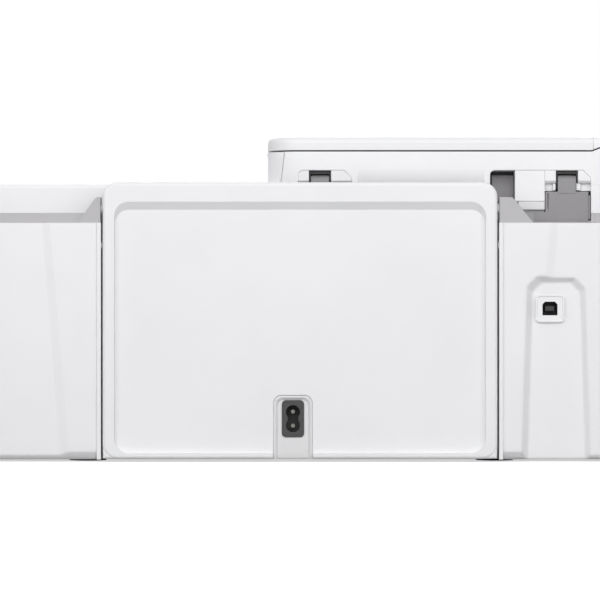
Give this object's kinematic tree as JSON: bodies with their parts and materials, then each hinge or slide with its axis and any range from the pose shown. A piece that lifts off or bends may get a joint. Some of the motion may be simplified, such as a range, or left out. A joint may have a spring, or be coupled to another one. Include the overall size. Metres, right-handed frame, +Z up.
{
  "type": "multifunction printer",
  "caption": "Desktop inkjet printer, scanner and copier with a hinged scanner lid, a sheet feeder on it, a paper tray that folds out at the rear and a slide-out paper exit.",
  "frame": {"origin": "middle of the footprint at the level of the feet's undersides", "axes": "+Z up, -Y towards the control panel, +Y towards the rear paper tray, X across the width"},
  "size_m": [0.428, 0.332, 0.2],
  "materials": {
    "case_white": "fine grain",
    "band_grey": "fine grain",
    "hinge_grey": "satin",
    "black_plastic": "satin",
    "panel_dark": "gloss",
    "button_grey": "satin",
    "inner_grey": "matte",
    "pad_white": "matte",
    "glass": "clear",
    "steel": "brushed",
    "rubber": "matte",
    "board_green": "satin",
    "gear_white": "satin"
  },
  "bodies": {
    "case": {"main_case": "case_white", "rear_case": "case_white", "bottom_chassis": "inner_grey", "mid_frame": "band_grey", "scanner_deck": "band_grey", "scanner_glass": "glass", "adf_glass": "glass", "scanner_tub": "inner_grey", "scan_rail": "steel", "paper_ramp": "inner_grey", "feed_frame": "inner_grey", "feed_motor": "black_plastic", "platen": "inner_grey", "carriage_rail": "steel", "carriage_motor": "black_plastic", "carriage_belt": "rubber", "power_supply": "black_plastic", "main_board": "board_green", "power_inlet": "black_plastic", "inlet_pins": "steel", "usb_socket": "black_plastic", "feet": "rubber", "case_screws": "steel", "control_panel": "panel_dark", "display_window": "panel_dark"},
    "input_tray": {"input_tray": "case_white"},
    "paper_guide_left": {"paper_guide_left": "band_grey"},
    "paper_guide_right": {"paper_guide_right": "band_grey"},
    "feed_roller": {"feed_roller": "rubber"},
    "exit_roller": {"exit_roller": "rubber"},
    "pick_roller": {"pick_roller": "rubber"},
    "feed_idler_gear": {"feed_idler_gear": "gear_white"},
    "motor_pinion": {"motor_pinion": "gear_white"},
    "carriage": {"carriage": "inner_grey", "black_cartridge": "black_plastic", "colour_cartridge": "black_plastic"},
    "motor_pulley": {"motor_pulley": "gear_white"},
    "idler_pulley": {"idler_pulley": "gear_white"},
    "output_tray": {"output_tray": "band_grey"},
    "output_extension": {"output_extension": "band_grey"},
    "access_door": {"access_door": "case_white"},
    "scan_bar": {"scan_bar": "inner_grey"},
    "hinge_legs": {"left_hinge_leg": "hinge_grey", "right_hinge_leg": "hinge_grey"},
    "lid": {"hinge_yokes": "black_plastic", "lid_frame": "case_white", "lid_pad": "pad_white", "adf_body": "case_white", "cable_cover": "case_white"},
    "adf_top_cover": {"adf_top_cover": "case_white"},
    "adf_roller_cover": {"adf_roller_cover": "case_white"},
    "adf_roller": {"adf_roller": "rubber"},
    "sheet_guide_front": {"sheet_guide_front": "band_grey"},
    "sheet_guide_rear": {"sheet_guide_rear": "band_grey"},
    "power_button": {"power_button": "button_grey"},
    "wireless_button": {"wireless_button": "button_grey"},
    "menu_button": {"menu_button": "button_grey"},
    "cancel_button": {"cancel_button": "button_grey"},
    "copy_black_button": {"copy_black_button": "button_grey"},
    "copy_colour_button": {"copy_colour_button": "button_grey"}
  },
  "joints": [
    {"name": "input_tray_pivot", "type": "hinge", "parent": "case", "child": "input_tray", "pos_m": [0, 0.157, 0.155], "axis": [1, 0, 0], "range_deg": [0, 155]},
    {"name": "paper_guide_left_slide", "type": "slide", "parent": "case", "child": "paper_guide_left", "axis": [1, 0, 0], "range_m": [0, 0.05]},
    {"name": "paper_guide_right_slide", "type": "slide", "parent": "case", "child": "paper_guide_right", "axis": [-1, 0, 0], "range_m": [0, 0.05]},
    {"name": "feed_roller_spin", "type": "hinge", "parent": "case", "child": "feed_roller", "pos_m": [0, 0.062, 0.066], "axis": [1, 0, 0], "continuous": true},
    {"name": "exit_roller_spin", "type": "hinge", "parent": "case", "child": "exit_roller", "pos_m": [0, 0.008, 0.064], "axis": [1, 0, 0], "continuous": true},
    {"name": "pick_roller_spin", "type": "hinge", "parent": "case", "child": "pick_roller", "pos_m": [0, 0.10216, 0.08394], "axis": [1, 0, 0], "continuous": true},
    {"name": "feed_idler_spin", "type": "hinge", "parent": "case", "child": "feed_idler_gear", "pos_m": [0.128, 0.03548, 0.05197], "axis": [1, 0, 0], "continuous": true},
    {"name": "motor_pinion_spin", "type": "hinge", "parent": "case", "child": "motor_pinion", "pos_m": [0.128, 0.01171, 0.04332], "axis": [1, 0, 0], "continuous": true},
    {"name": "carriage_slide", "type": "slide", "parent": "case", "child": "carriage", "axis": [1, 0, 0], "range_m": [-0.108, 0.108]},
    {"name": "motor_pulley_spin", "type": "hinge", "parent": "case", "child": "motor_pulley", "pos_m": [-0.176, 0.0855, 0.098], "axis": [0, 0, 1], "continuous": true},
    {"name": "idler_pulley_spin", "type": "hinge", "parent": "case", "child": "idler_pulley", "pos_m": [0.176, 0.0855, 0.098], "axis": [0, 0, 1], "continuous": true},
    {"name": "output_tray_slide", "type": "slide", "parent": "case", "child": "output_tray", "axis": [0, -1, 0], "range_m": [0, 0.11]},
    {"name": "output_extension_slide", "type": "slide", "parent": "output_tray", "child": "output_extension", "axis": [0, -1, 0], "range_m": [0, 0.09]},
    {"name": "access_door_hinge", "type": "hinge", "parent": "case", "child": "access_door", "pos_m": [0, -0.163, 0.066], "axis": [1, 0, 0], "range_deg": [0, 75]},
    {"name": "scan_bar_slide", "type": "slide", "parent": "case", "child": "scan_bar", "axis": [1, 0, 0], "range_m": [0, 0.3]},
    {"name": "lid_lift", "type": "slide", "parent": "case", "child": "hinge_legs", "axis": [0, 0, 1], "range_m": [0, 0.006]},
    {"name": "lid_hinge", "type": "hinge", "parent": "hinge_legs", "child": "lid", "pos_m": [-0.089, 0.1285, 0.1715], "axis": [-1, 0, 0], "range_deg": [0, 65]},
    {"name": "adf_top_cover_hinge", "type": "hinge", "parent": "lid", "child": "adf_top_cover", "pos_m": [0.0196, 0, 0.19155], "axis": [0, -1, 0], "range_deg": [-145, 0]},
    {"name": "adf_roller_cover_hinge", "type": "hinge", "parent": "lid", "child": "adf_roller_cover", "pos_m": [-0.2125, 0, 0.19475], "axis": [0, -1, 0], "range_deg": [0, 95]},
    {"name": "adf_roller_spin", "type": "hinge", "parent": "lid", "child": "adf_roller", "pos_m": [-0.197, 0, 0.181], "axis": [0, 1, 0], "continuous": true},
    {"name": "sheet_guide_rear_slide", "type": "slide", "parent": "lid", "child": "sheet_guide_rear", "axis": [0, -1, 0], "range_m": [0, 0.055]},
    {"name": "sheet_guide_front_slide", "type": "slide", "parent": "lid", "child": "sheet_guide_front", "axis": [0, 1, 0], "range_m": [0, 0.055]},
    {"name": "power_button_press", "type": "slide", "parent": "case", "child": "power_button", "axis": [0, 0.6615, -0.75], "range_m": [0, 0.0008], "stiffness_N_per_m": 250},
    {"name": "wireless_button_press", "type": "slide", "parent": "case", "child": "wireless_button", "axis": [0, 0.6615, -0.75], "range_m": [0, 0.0008], "stiffness_N_per_m": 250},
    {"name": "menu_button_press", "type": "slide", "parent": "case", "child": "menu_button", "axis": [0, 0.6615, -0.75], "range_m": [0, 0.0008], "stiffness_N_per_m": 250},
    {"name": "cancel_button_press", "type": "slide", "parent": "case", "child": "cancel_button", "axis": [0, 0.6615, -0.75], "range_m": [0, 0.0008], "stiffness_N_per_m": 250},
    {"name": "copy_black_button_press", "type": "slide", "parent": "case", "child": "copy_black_button", "axis": [0, 0.6615, -0.75], "range_m": [0, 0.0008], "stiffness_N_per_m": 250},
    {"name": "copy_colour_button_press", "type": "slide", "parent": "case", "child": "copy_colour_button", "axis": [0, 0.6615, -0.75], "range_m": [0, 0.0008], "stiffness_N_per_m": 250}
  ],
  "couplings": [
    {"joint": "paper_guide_right_slide", "follows": "paper_guide_left_slide", "ratio": 1},
    {"joint": "sheet_guide_front_slide", "follows": "sheet_guide_rear_slide", "ratio": 1},
    {"joint": "exit_roller_spin", "follows": "feed_roller_spin", "ratio": 1},
    {"joint": "pick_roller_spin", "follows": "feed_roller_spin", "ratio": 1},
    {"joint": "feed_idler_spin", "follows": "feed_roller_spin", "ratio": -0.46875},
    {"joint": "motor_pinion_spin", "follows": "feed_roller_spin", "ratio": 1.875},
    {"joint": "motor_pulley_spin", "follows": "carriage_slide", "rad_per_m": 163.93},
    {"joint": "idler_pulley_spin", "follows": "carriage_slide", "rad_per_m": 163.93}
  ]
}
